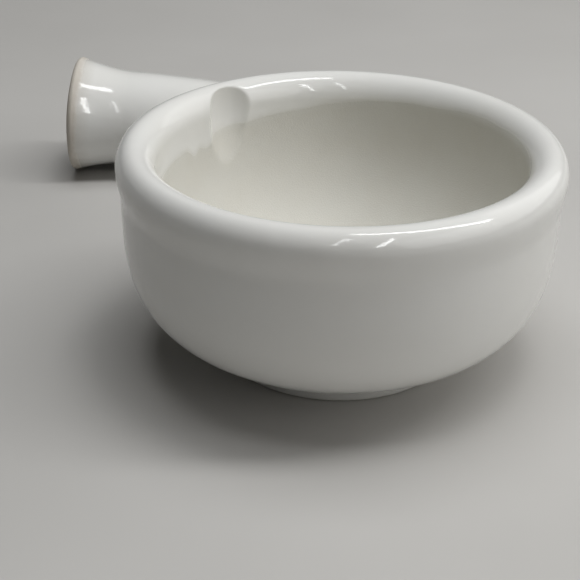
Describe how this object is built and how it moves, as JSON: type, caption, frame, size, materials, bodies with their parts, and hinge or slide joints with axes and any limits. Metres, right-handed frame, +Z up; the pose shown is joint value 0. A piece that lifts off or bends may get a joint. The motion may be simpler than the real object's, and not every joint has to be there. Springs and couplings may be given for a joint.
{
  "type": "mortar and pestle",
  "caption": "Porcelain mortar with a rounded glazed lip, a pouring groove, a bare inside and a foot ring, and a loose pestle with a flared grinding head.",
  "frame": {"origin": "on the table, under the middle of the box that the mortar and the lying pestle take up together", "axes": "+Z up; +Y from the mortar towards the pestle; the pestle lies nearly along X with its grinding head towards -X"},
  "size_m": [0.1672, 0.2248, 0.0664],
  "materials": {
    "mortar_glaze": "clear gloss glaze over warm white porcelain, with matt bare porcelain inside the bowl below the lip and on the foot ring",
    "pestle_glaze": "clear gloss glaze over warm white porcelain, with matt bare porcelain on the grinding face"
  },
  "bodies": {
    "mortar": {"mortar": "mortar_glaze"},
    "pestle": {"pestle": "pestle_glaze"}
  },
  "joints": [
    {"name": "pestle_lift", "type": "slide", "parent": "mortar", "child": "pestle", "axis": [0, 0, 1], "range_m": [0, 0.12]}
  ]
}
